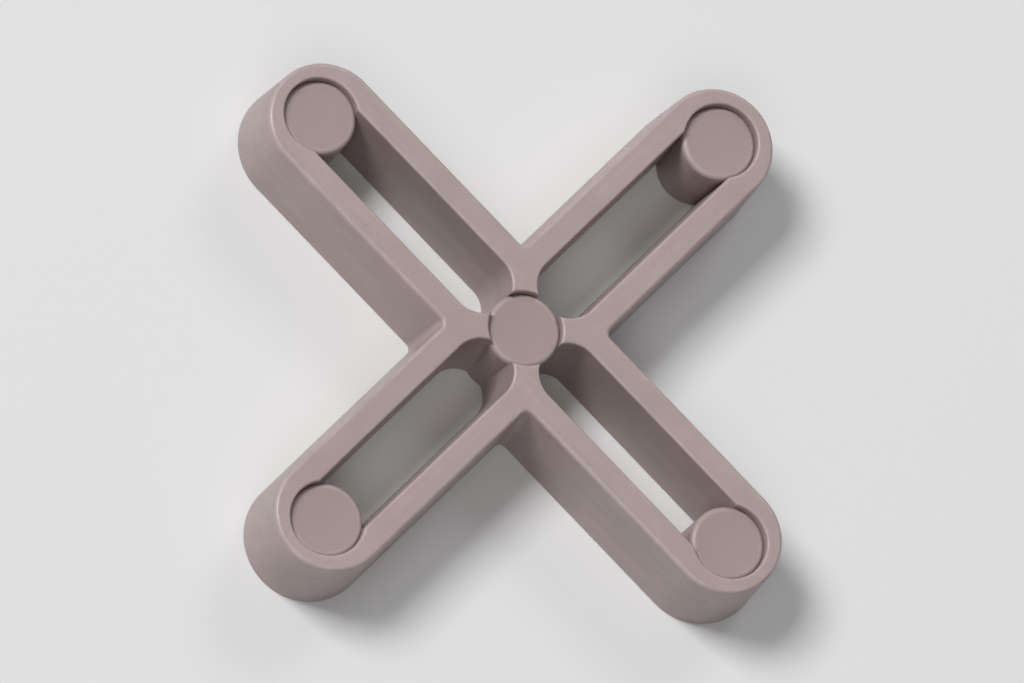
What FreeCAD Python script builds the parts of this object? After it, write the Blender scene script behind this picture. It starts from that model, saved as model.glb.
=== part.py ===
import FreeCAD, Part
import os

# Cross-shaped tile spacer, moulded in one piece. All sizes are in millimetres.
# It lies on its wide face, its arms run along X and Y, and its hub is over the origin.

# The outline: the joint that the arms keep open, the reach and the thickness.
joint_width = 5.0
span = 27.5
thickness = 4.0

# The walls on either side of an arm's slot, measured across the wide face.
wall = 1.4

# How far each flank leans over the thickness, so that the moulding leaves its mould.
outer_taper = 0.2
slot_taper = 0.15

# The round posts that the mould's pins push on, one in the hub and one in each tip.
post_diameter = 3.0
post_recess = 0.35
tip_wall = 0.75
hub_post_bulge = 0.1

# Edges: the corner between two arms, the rim's two upper edges and the posts' bevel.
corner_radius = 0.3
outer_rim_radius = 0.15
inner_rim_radius = 0.1
post_bevel = 0.1

# The slot is what its walls leave open. Its round end meets the hub's post, and its
# other end is inside the tip's post, which stands a wall's thickness from the tip.
slot_width = joint_width - 2 * wall
slot_start = post_diameter / 2 - hub_post_bulge + slot_width / 2
tip_post_reach = span / 2 - tip_wall - post_diameter / 2
tip_centre = span / 2 - joint_width / 2
post_height = thickness - post_recess

arm_angles = (0, 90, 180, 270)
tolerance = 0.001
up = FreeCAD.Vector(0, 0, 1)
middle = FreeCAD.Vector(0, 0, 0)


def tapered_bar(start, end, low_width, high_width):
    """A bar along +X whose section is a trapezium, from its lower to its upper width."""
    corners = [
        FreeCAD.Vector(start, -low_width / 2, 0),
        FreeCAD.Vector(start, low_width / 2, 0),
        FreeCAD.Vector(start, high_width / 2, thickness),
        FreeCAD.Vector(start, -high_width / 2, thickness),
    ]
    section = Part.Face(Part.makePolygon(corners + corners[:1]))
    return section.extrude(FreeCAD.Vector(end - start, 0, 0))


def tapered_round(reach, low_width, high_width):
    """The cone that gives a tapered bar its round end, at this reach along +X."""
    centre = FreeCAD.Vector(reach, 0, 0)
    return Part.makeCone(low_width / 2, high_width / 2, thickness, centre, up)


def on_every_arm(shape):
    """Four copies of a shape, turned about the hub onto the four arms."""
    copies = []
    for angle in arm_angles:
        copy = shape.copy()
        copy.rotate(middle, up, angle)
        copies.append(copy)
    return copies


def arm():
    """One arm before it is slotted, from the hub to its round tip."""
    high_width = joint_width - 2 * outer_taper
    bar = tapered_bar(0, tip_centre, joint_width, high_width)
    return bar.fuse(tapered_round(tip_centre, joint_width, high_width))


def slot():
    """The opening down one arm. It widens upwards and ends inside the tip's post."""
    high_width = slot_width + 2 * slot_taper
    bar = tapered_bar(slot_start, tip_post_reach, slot_width, high_width)
    return bar.fuse(tapered_round(slot_start, slot_width, high_width))


def five_cylinders(floor, height):
    """Upright cylinders of the posts' diameter, in the hub and in the four tips."""
    radius = post_diameter / 2
    hub = Part.makeCylinder(radius, height, FreeCAD.Vector(0, 0, floor), up)
    tip = Part.makeCylinder(radius, height, FreeCAD.Vector(tip_post_reach, 0, floor), up)
    return [hub] + on_every_arm(tip)


def edges_at(shape, height):
    """The edges that lie flat at this height."""
    return [
        edge
        for edge in shape.Edges
        if edge.BoundBox.ZMin > height - tolerance
        and edge.BoundBox.ZMax < height + tolerance
    ]


def corner_edges(cross):
    """The four upright edges where the flanks of two arms meet."""
    return [
        edge
        for edge in cross.Edges
        if edge.BoundBox.ZLength > thickness - tolerance
        and abs(abs(edge.CenterOfMass.x) - abs(edge.CenterOfMass.y)) < tolerance
    ]


def inner_rim_edges(body):
    """The upper edges of the slots and recesses, which are the rim's inner outline."""
    rims = [face for face in body.Faces if face.BoundBox.ZMin > thickness - tolerance]
    return [
        edge
        for rim in rims
        for wire in rim.Wires
        if not wire.isSame(rim.OuterWire)
        for edge in wire.Edges
    ]


def solid_cross():
    """Four arms joined, with small radii in their corners and round the upper edge."""
    arms = on_every_arm(arm())
    cross = arms[0].multiFuse(arms[1:]).removeSplitter()
    cross = cross.makeFillet(corner_radius, corner_edges(cross))
    return cross.makeFillet(outer_rim_radius, edges_at(cross, thickness))


def posts():
    """The five posts, with a bevel round their upper edges."""
    return [
        post.makeChamfer(post_bevel, edges_at(post, post_height))
        for post in five_cylinders(0, post_height)
    ]


def spacer():
    """The whole moulding: the cross, its slots, its posts and their recessed faces."""
    slotted = solid_cross().cut(on_every_arm(slot()))
    filled = slotted.multiFuse(posts())
    recessed = filled.cut(five_cylinders(post_height, post_recess)).removeSplitter()
    return recessed.makeFillet(inner_rim_radius, inner_rim_edges(recessed))


os.makedirs("parts", exist_ok=True)
spacer().exportStep("parts/cross_spacer.step")
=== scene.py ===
import math

import bmesh
import bpy
import numpy as np
from mathutils import Matrix, Vector


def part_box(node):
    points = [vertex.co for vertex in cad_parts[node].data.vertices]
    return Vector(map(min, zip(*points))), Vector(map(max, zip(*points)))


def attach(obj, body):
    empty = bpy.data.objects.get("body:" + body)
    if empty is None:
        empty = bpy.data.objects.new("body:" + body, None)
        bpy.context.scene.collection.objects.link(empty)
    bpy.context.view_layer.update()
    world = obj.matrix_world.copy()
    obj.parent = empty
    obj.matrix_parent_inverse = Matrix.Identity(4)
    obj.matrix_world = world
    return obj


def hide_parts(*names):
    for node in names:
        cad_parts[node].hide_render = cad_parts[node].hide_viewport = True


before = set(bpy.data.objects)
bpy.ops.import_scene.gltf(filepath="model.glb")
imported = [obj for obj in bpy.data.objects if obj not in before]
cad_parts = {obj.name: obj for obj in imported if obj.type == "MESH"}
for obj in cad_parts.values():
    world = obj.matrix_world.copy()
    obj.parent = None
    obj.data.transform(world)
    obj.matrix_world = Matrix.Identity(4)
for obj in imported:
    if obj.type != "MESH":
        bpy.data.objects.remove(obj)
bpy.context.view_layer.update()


# The moulded cross
# One injection moulding in satin grey plastic. Each arm is a hairpin wall round an open slot,
# with a round post in its tip, and a fifth post joins the four arms in the hub.

mm = 0.001
low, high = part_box("cross_spacer")
thickness = high.z - low.z
reach = high.x
half_joint = 2.5 * mm
wall = 1.4 * mm
outer_taper = 0.2 * mm
slot_taper = 0.15 * mm
post_radius = 1.5 * mm
post_height = thickness - 0.35 * mm
tip_wall = 0.75 * mm
hub_post_bulge = 0.1 * mm
post_sink = 0.03 * mm
corner_radius = 0.3 * mm
outer_rim_radius = 0.15 * mm
inner_rim_radius = 0.1 * mm
lower_edge_radius = 0.05 * mm
post_edge_radius = 0.2 * mm

half_slot = half_joint - wall
slot_start = post_radius - hub_post_bulge + half_slot
tip_post_reach = reach - tip_wall - post_radius
tip_centre = reach - half_joint

# How finely the outlines are divided. A slot's side has its wider steps up to a share of its
# length, and finer ones beside its round end.
edge_steps = 6
tip_steps = 30
wall_steps = 26
corner_steps = 6
round_end_steps = 18
post_front_steps = 18
wide_steps_share = 0.92

# The rows between the rounded edges: how many there are and how far they keep from the edges.
flank_rows = 9
shaft_rows = 8
recess_rows = 6
lower_edge_gap = 0.1 * mm
outer_rim_gap = 0.05 * mm
inner_rim_gap = 0.03 * mm
shaft_gap = 0.2 * mm

# Shares of the way across a flat strip, and from an outline in to its middle.
across = np.array([0, 0.04, 0.2, 0.4, 0.6, 0.8, 0.96, 1])
inwards = np.array([1, 0.96, 0.85, 0.7, 0.55, 0.4, 0.25, 0.12, 0])


def shares(steps):
    """Equal shares from 0 to 1, both ends included."""
    return np.linspace(0, 1, steps + 1)


def arc(centre, radius, start, end, share):
    """Points on arcs: the centre plus the radius times the cosine and sine of an angle that
    runs from start to end with the share. Each row may have its own radius and angles."""
    angle = start + (end - start) * share
    return np.stack(np.broadcast_arrays(centre + radius * np.cos(angle), radius * np.sin(angle)), axis=-1)


def straight(start, end, side, share):
    """Points on lines along X: x runs from start to end with the share, at a steady y."""
    return np.stack(np.broadcast_arrays(start + (end - start) * share, side), axis=-1)


def raised(outline, z):
    """The same points with their heights, one for each row or one for each point."""
    z = np.broadcast_to(z, outline.shape[:-1])[..., None]
    return np.concatenate([outline, z], axis=-1)


def outer_outline(inset, rounding):
    """Half an arm's outer edge for each inset: a quarter circle round the tip, a straight flank,
    and half of the small arc in the corner, which an edge's rounding makes wider."""
    half = half_joint - inset
    radius = corner_radius + rounding
    corner = half + radius
    tip = arc(tip_centre, half, 0, math.pi / 2, shares(tip_steps)[:-1])
    flank = straight(tip_centre, corner, half, shares(wall_steps)[:-1])
    bend = arc(corner, radius, 1.5 * math.pi, 1.25 * math.pi, shares(corner_steps))
    bend[..., 1] += corner
    return np.concatenate([tip, flank, bend], axis=1)


def slot_outline(z, rounding, ring):
    """Half a slot's edges for each height. Its side stands off the middle by the slot's half
    width, its taper and its rounding, from the ring round the tip's post to the round end,
    which stops where the ring round the hub's post crosses it. Each ring starts where it
    meets the slot."""
    half = half_slot + slot_taper * z / thickness + rounding
    tip_cusp = math.pi - np.arcsin(half / ring)
    meet_x = (slot_start**2 + ring**2 - half**2) / (2 * slot_start)
    meet_y = np.sqrt(ring**2 - meet_x**2)
    hub_cusp = np.arctan2(meet_y, meet_x)
    side_end = np.arctan2(meet_y, meet_x - slot_start)
    seam = tip_post_reach + ring * np.cos(tip_cusp)
    wide_steps = shares(wall_steps)[:-1] * wide_steps_share
    fine_steps = wide_steps_share + shares(corner_steps) * (1 - wide_steps_share)
    return {
        "side": straight(seam, slot_start, half, np.concatenate([wide_steps, fine_steps])),
        "round_end": arc(slot_start, half, math.pi / 2, side_end, shares(round_end_steps)),
        "tip_cusp": tip_cusp,
        "tip_ring": arc(tip_post_reach, ring, tip_cusp, 0, shares(tip_steps)),
        "hub_cusp": hub_cusp,
        "hub_ring": arc(0, ring, hub_cusp, math.pi / 4, across),
    }


def edge_profile(lower_radius, upper_radius, stops):
    """Heights from the lower face to the upper one. Each edge is a quarter circle, which draws
    the surface in by its radius less the radius times a sine or cosine. The stops lie between."""
    turn = shares(edge_steps) * math.pi / 2
    lower_edge = lower_radius * (1 - np.cos(turn))
    upper_edge = thickness - upper_radius * (1 - np.sin(turn))
    z = np.concatenate([lower_edge, stops, upper_edge])
    lower_inset = lower_radius * (1 - np.sin(turn))
    upper_inset = upper_radius * (1 - np.cos(turn))
    rounding = np.concatenate([lower_inset, 0 * stops, upper_inset])
    # Marks the rounded edges, which are painted paler for rubbing wear and painted highlight.
    wear_and_highlight = np.concatenate([0 * turn + 1, 0 * stops, 0 * turn + 1])
    return z[:, None], rounding[:, None], wear_and_highlight[:, None]


def four_sided(first_row, last_row, first_column, last_column, down, along):
    """A sheet between four curves: the blends of both pairs of opposite curves added together,
    less the blend of the four corners."""
    s = along[None, :, None]
    t = down[:, None, None]
    rows = (1 - t) * first_row + t * last_row
    columns = (1 - s) * first_column[:, None] + s * last_column[:, None]
    first_ends = (1 - s) * first_row[0] + s * first_row[-1]
    last_ends = (1 - s) * last_row[0] + s * last_row[-1]
    return rows + columns - (1 - t) * first_ends - t * last_ends


# Every patch is a grid of points for an eighth of the cross, whether they are on a rounded edge
# that is painted paler for rubbing wear and painted highlight, and whether they are on a post's upper
# face.
patches = []

# The outer skin, from the lower face up the flank to the rim.
stops = np.linspace(lower_edge_gap, thickness - outer_rim_radius - outer_rim_gap, flank_rows)
z, rounding, wear_and_highlight = edge_profile(lower_edge_radius, outer_rim_radius, stops)
outer = outer_outline(outer_taper * z / thickness + rounding, rounding)
patches.append((raised(outer, z), wear_and_highlight, 0))

# The slot's walls. Above the posts' shafts the rings are the recesses' walls, which an edge's
# rounding widens. Below they are the posts themselves, which it narrows.
shaft_height = post_height - post_edge_radius
below = np.linspace(lower_edge_gap, shaft_height - shaft_gap, shaft_rows)
above = np.linspace(shaft_height, thickness - inner_rim_radius - inner_rim_gap, recess_rows)
stops = np.concatenate([below, above])
z, rounding, wear_and_highlight = edge_profile(lower_edge_radius, inner_rim_radius, stops)
recessed = z[:, 0] >= shaft_height
ring = post_radius + np.where(recessed[:, None], rounding, -rounding)
slot = slot_outline(z, rounding, ring)
patches.append((raised(slot["side"], z), wear_and_highlight, 0))
patches.append((raised(slot["round_end"], z), wear_and_highlight, 0))
patches.append((raised(slot["tip_ring"], z)[recessed], wear_and_highlight[recessed], 0))
patches.append((raised(slot["hub_ring"], z)[recessed], wear_and_highlight[recessed], 0))

# The posts. Their fronts bulge into the slots, their backs are inside the walls, and a rounded
# edge runs all the way round their faces. Their ends sink a little towards the middle, as thick
# plastic does.
shaft_end = np.argmax(recessed) + 1
turn = (shares(edge_steps) * math.pi / 2)[:, None, None]
drawn_in = 1 - post_edge_radius / post_radius * (1 - np.cos(turn))
for centre, ahead, name in ((tip_post_reach, math.pi, "tip"), (0.0, 0.0, "hub")):
    front = raised(arc(centre, ring, slot[name + "_cusp"], ahead, shares(post_front_steps)), z)
    backed = raised(slot[name + "_ring"], z)
    around = np.concatenate([front[:shaft_end, ::-1], backed[:shaft_end, 1:]], axis=1)
    patches.append((front[:shaft_end], wear_and_highlight[:shaft_end], 0))
    axis = np.array([centre, 0, shaft_height])
    edge = axis + (around[-1] - axis) * drawn_in
    edge[..., 2] += post_edge_radius * np.sin(turn[..., 0])
    patches.append((edge, 0, 0))
    for outline, sink, on_face in ((edge[-1], -post_sink, 1), (around[0], post_sink, 0)):
        middle = np.array([centre, 0, outline[0, 2]])
        share = inwards[:, None, None]
        end = middle + (outline - middle) * share
        end[..., 2] += sink * (1 - share[..., 0] ** 2)
        patches.append((end, 0, on_face * (share[..., 0] < 1)))

# The rim and the lower face: a strip beside the slot and a web between two slots' round ends.
for row, outer_edge, height in ((-1, outer[-1], thickness), (0, outer[0], 0.0)):
    inner_edge = np.concatenate([slot["tip_ring"][row][::-1], slot["side"][row][1:]])
    strip = outer_edge + (inner_edge - outer_edge) * across[:, None, None]
    patches.append((raised(strip, height), 0, 0))
    hub_ring = slot["hub_ring"][row]
    down = shares(round_end_steps)
    diagonal = outer_edge[-1] + (hub_ring[-1] - outer_edge[-1]) * down[:, None]
    web = four_sided(strip[::-1, -1], hub_ring, slot["round_end"][row], diagonal, down, across)
    patches.append((raised(web, height), 0, 0))

melt_stretch = 0.09
arm_spacing = 40 * mm


def eight_fold(name):
    """All patches eight times round the hub, in one mesh: y changes sign in every second copy,
    then x and y turn by quarter turns. Beside the marks for the rounded edges, painted paler for
    wear and painted highlight, and for the posts' faces, a point keeps its place along its arm,
    shortened, which the melt's streaks follow."""
    points, melt_path, wear_and_highlight, post_face, faces = [], [], [], [], []
    count = 0
    for grid, grid_wear_and_highlight, grid_face in patches:
        rows, columns = grid.shape[:2]
        index = np.arange(rows * columns).reshape(rows, columns)
        quads = np.stack([index[:-1, :-1], index[:-1, 1:], index[1:, 1:], index[1:, :-1]], axis=-1)
        for quarter, side in [(quarter, side) for quarter in range(4) for side in (1, -1)]:
            x, y, height = grid[..., 0], grid[..., 1] * side, grid[..., 2]
            cosine, sine = round(math.cos(quarter * math.pi / 2)), round(math.sin(quarter * math.pi / 2))
            turned = np.stack([x * cosine - y * sine, x * sine + y * cosine, height], axis=-1)
            path = np.stack([x * melt_stretch + quarter * arm_spacing, y, height], axis=-1)
            points.append(turned.reshape(-1, 3))
            melt_path.append(path.reshape(-1, 3))
            wear_and_highlight.append(np.broadcast_to(grid_wear_and_highlight, (rows, columns)).ravel())
            post_face.append(np.broadcast_to(grid_face, (rows, columns)).ravel())
            faces.append(quads.reshape(-1, 4) + count)
            count += rows * columns
    mesh = bpy.data.meshes.new(name)
    mesh.from_pydata(np.concatenate(points), [], np.concatenate(faces))
    for label, kind, field, values in (
        ("wear_and_highlight", "FLOAT", "value", wear_and_highlight),
        ("post_face", "FLOAT", "value", post_face),
        ("melt_path", "FLOAT_VECTOR", "vector", melt_path),
    ):
        layer = mesh.attributes.new(label, kind, "POINT")
        layer.data.foreach_set(field, np.concatenate(values).astype(np.float32).ravel())
    return mesh


def welded(mesh, gap, crease):
    """Points closer than the gap become one, faces turn outwards, and edges sharper than the
    crease stay crisp under smooth shading."""
    work = bmesh.new()
    work.from_mesh(mesh)
    bmesh.ops.remove_doubles(work, verts=work.verts, dist=gap)
    bmesh.ops.dissolve_degenerate(work, edges=work.edges, dist=gap)
    bmesh.ops.recalc_face_normals(work, faces=work.faces)
    work.to_mesh(mesh)
    work.free()
    mesh.shade_smooth()
    mesh.set_sharp_from_angle(angle=crease)
    return mesh


cross_mesh = welded(eight_fold("moulded_cross"), gap=0.00002 * mm, crease=math.radians(28))
cross = bpy.data.objects.new("moulded_cross", cross_mesh)
bpy.context.scene.collection.objects.link(cross)

grey_plastic = bpy.data.materials.new("grey_plastic")
grey_plastic.use_nodes = True
tree = grey_plastic.node_tree
shader = tree.nodes["Principled BSDF"]


def mark(name, output):
    """One of the marks that the mesh's points keep."""
    node = tree.nodes.new("ShaderNodeAttribute")
    node.attribute_name = name
    return node.outputs[output]


def scaled(source, scale):
    """A place with its three coordinates multiplied by these numbers."""
    node = tree.nodes.new("ShaderNodeVectorMath")
    node.operation = "MULTIPLY"
    node.inputs[1].default_value = scale
    tree.links.new(source, node.inputs[0])
    return node.outputs[0]


def noise(source, size, detail, roughness, distortion, part, spread):
    """Noise with blotches of this size, of which the part between two values is spread over
    the range between two others."""
    node = tree.nodes.new("ShaderNodeTexNoise")
    ramp = tree.nodes.new("ShaderNodeMapRange")
    node.inputs["Scale"].default_value = 1 / size
    node.inputs["Detail"].default_value = detail
    node.inputs["Roughness"].default_value = roughness
    node.inputs["Distortion"].default_value = distortion
    for socket, number in zip(("From Min", "From Max", "To Min", "To Max"), part + spread):
        ramp.inputs[socket].default_value = number
    tree.links.new(source, node.inputs["Vector"])
    tree.links.new(node.outputs["Fac"], ramp.inputs["Value"])
    return ramp.outputs["Result"]


def joined(operation, first, second):
    """The sum, difference or product of two values, of which the second may be a plain number."""
    node = tree.nodes.new("ShaderNodeMath")
    node.operation = operation
    tree.links.new(first, node.inputs[0])
    if isinstance(second, float):
        node.inputs[1].default_value = second
    else:
        tree.links.new(second, node.inputs[1])
    return node.outputs[0]


def tinted(share, first, second):
    """A colour between two, of which the first may be another node's."""
    node = tree.nodes.new("ShaderNodeMix")
    node.data_type = "RGBA"
    tree.links.new(share, node.inputs["Factor"])
    if isinstance(first, tuple):
        node.inputs["A"].default_value = first
    else:
        tree.links.new(first, node.inputs["A"])
    node.inputs["B"].default_value = second
    return node.outputs["Result"]


def embossed(height, depth, under):
    """A bump of this depth over another normal, or over the bare surface."""
    node = tree.nodes.new("ShaderNodeBump")
    node.inputs["Distance"].default_value = depth
    tree.links.new(height, node.inputs["Height"])
    if under is not None:
        tree.links.new(under, node.inputs["Normal"])
    return node.outputs["Normal"]


# Pigment lies in soft clouds, in streaks along the arms and in fine specks. Painted shade makes
# the posts' recessed faces darker, and the rim's and the lower face's edges are painted paler, as
# rubbing wear and painted highlight.
dark_cloud = (0.352, 0.276, 0.263, 1)
light_cloud = (0.392, 0.309, 0.297, 1)
streak_tint = (0.330, 0.262, 0.253, 1)
speck_tint = (0.260, 0.206, 0.198, 1)
# Painted shade for the posts' recessed faces.
post_shade_tint = (0.300, 0.236, 0.226, 1)
# Paler tint for the edges: rubbing wear and painted highlight.
rubbed_and_highlit_tint = (0.54, 0.452, 0.437, 1)
post_shade_strength = 0.7
rubbed_and_highlit_strength = 0.30
place = tree.nodes.new("ShaderNodeTexCoord").outputs["Object"]
melt_path = mark("melt_path", "Vector")
clouds = noise(
    place, size=4.5 * mm, detail=3.0, roughness=0.55, distortion=1.2,
    part=(0.35, 0.65), spread=(0.0, 1.0),
)
streaks = noise(
    melt_path, size=0.33 * mm, detail=3.0, roughness=0.6, distortion=0.6,
    part=(0.35, 0.70), spread=(0.0, 0.55),
)
specks = noise(
    place, size=0.12 * mm, detail=1.0, roughness=0.5, distortion=0.0,
    part=(0.64, 0.78), spread=(0.0, 0.40),
)
edge_patchiness = noise(
    place, size=0.9 * mm, detail=4.0, roughness=0.65, distortion=0.0,
    part=(0.38, 0.66), spread=(0.15, 1.0),
)
# The rounded edges' mask for wear and painted highlight, broken into patches.
rubbed_and_highlit = joined("MULTIPLY", mark("wear_and_highlight", "Fac"), edge_patchiness)
post_shade_and_polish = mark("post_face", "Fac")
colour = tinted(clouds, dark_cloud, light_cloud)
colour = tinted(streaks, colour, streak_tint)
colour = tinted(specks, colour, speck_tint)
# Painted shade: the posts' recessed faces a shade darker.
colour = tinted(joined("MULTIPLY", post_shade_and_polish, post_shade_strength), colour, post_shade_tint)
# Paler edges: rubbing wear and painted highlight.
colour = tinted(joined("MULTIPLY", rubbed_and_highlit, rubbed_and_highlit_strength), colour, rubbed_and_highlit_tint)
tree.links.new(colour, shader.inputs["Base Color"])

# The surface is duller in patches and along the streaks, and smoother where pins and rubbing
# have polished it.
streak_dullness = 0.08
rubbed_polish = 0.08
pressed_polish = 0.04
dullness = noise(
    place, size=2.6 * mm, detail=2.0, roughness=0.5, distortion=0.8,
    part=(0.3, 0.7), spread=(0.34, 0.44),
)
dullness = joined("ADD", dullness, joined("MULTIPLY", streaks, streak_dullness))
dullness = joined("SUBTRACT", dullness, joined("MULTIPLY", rubbed_and_highlit, rubbed_polish))
dullness = joined("SUBTRACT", dullness, joined("MULTIPLY", post_shade_and_polish, pressed_polish))
tree.links.new(dullness, shader.inputs["Roughness"])

# Faint waves, and the mould's satin grain, which turns to fine lines on the walls that slid
# out of it.
waves = noise(
    place, size=1.7 * mm, detail=1.0, roughness=0.5, distortion=0.0,
    part=(0.0, 1.0), spread=(0.0, 1.0),
)
drawn_place = scaled(place, scale=(1.0, 1.0, 0.2))
grain = noise(
    drawn_place, size=0.09 * mm, detail=3.0, roughness=0.6, distortion=0.0,
    part=(0.0, 1.0), spread=(0.0, 1.0),
)
wavy = embossed(waves, depth=0.012 * mm, under=None)
grainy = embossed(grain, depth=0.012 * mm, under=wavy)
tree.links.new(grainy, shader.inputs["Normal"])
cross_mesh.materials.append(grey_plastic)

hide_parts("cross_spacer")
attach(cross, "root")


# The floor
# A broad sheet of plain pale paper, which the spacer lies on.

floor_reach = 1.5
floor_drop = 0.01 * mm
paper_mesh = bpy.data.meshes.new("floor")
paper_corners = np.array([(-1, -1, 0), (1, -1, 0), (1, 1, 0), (-1, 1, 0)]) * floor_reach
paper_corners[:, 2] = -floor_drop
paper_mesh.from_pydata(paper_corners, [], [(0, 1, 2, 3)])
floor = bpy.data.objects.new("floor", paper_mesh)
bpy.context.scene.collection.objects.link(floor)
pale_paper = bpy.data.materials.new("pale_paper")
pale_paper.use_nodes = True
paper_shader = pale_paper.node_tree.nodes["Principled BSDF"]
paper_shader.inputs["Base Color"].default_value = (0.69, 0.69, 0.69, 1)
paper_shader.inputs["Roughness"].default_value = 0.9
paper_mesh.materials.append(pale_paper)


# The camera
# It looks down at 67 degrees along one pair of arms, and is rolled so that they lie aslant.

elevation = math.radians(67.4)
roll = math.radians(46.2)
view_width = 40 * mm
lens = 600
camera_data = bpy.data.cameras.new("camera")
camera_data.lens = lens
camera_data.clip_start = 0.01
camera_data.clip_end = 10
camera = bpy.data.objects.new("camera", camera_data)
bpy.context.scene.collection.objects.link(camera)
target = Vector((0, 0, thickness / 2))
back = Vector((0, -math.cos(elevation), math.sin(elevation)))
facing = back.to_track_quat("Z", "Y").to_matrix() @ Matrix.Rotation(roll, 3, "Z")
away = back * view_width * lens / camera_data.sensor_width
camera.matrix_world = Matrix.Translation(target + away) @ facing.to_4x4()
bpy.context.scene.camera = camera


# The light
# A softbox on the left, weaker ones in front and behind, and an even pale surround.

lamp_distance = 1.2


def softbox(name, direction, size, power):
    """A square lamp at the lamps' distance in this direction, facing the spacer."""
    data = bpy.data.lights.new(name, "AREA")
    data.size = size
    data.energy = power
    lamp = bpy.data.objects.new(name, data)
    bpy.context.scene.collection.objects.link(lamp)
    spot = Vector(direction).normalized() * lamp_distance
    aim = spot.to_track_quat("Z", "Y").to_matrix().to_4x4()
    lamp.matrix_world = Matrix.Translation(spot) @ aim


softbox("key_light", direction=(-0.9, -0.26, 1.2), size=0.40, power=11.8)
softbox("fill_light", direction=(0.2, -0.65, 1.3), size=0.70, power=3.0)
softbox("back_light", direction=(-0.25, 0.95, 1.0), size=0.35, power=1.8)
studio = bpy.data.worlds.new("studio")
studio.use_nodes = True
surround = studio.node_tree.nodes["Background"]
surround.inputs["Color"].default_value = (1.0, 0.98, 1.0, 1)
surround.inputs["Strength"].default_value = 0.18
bpy.context.scene.world = studio
bpy.context.scene.view_settings.view_transform = "Standard"
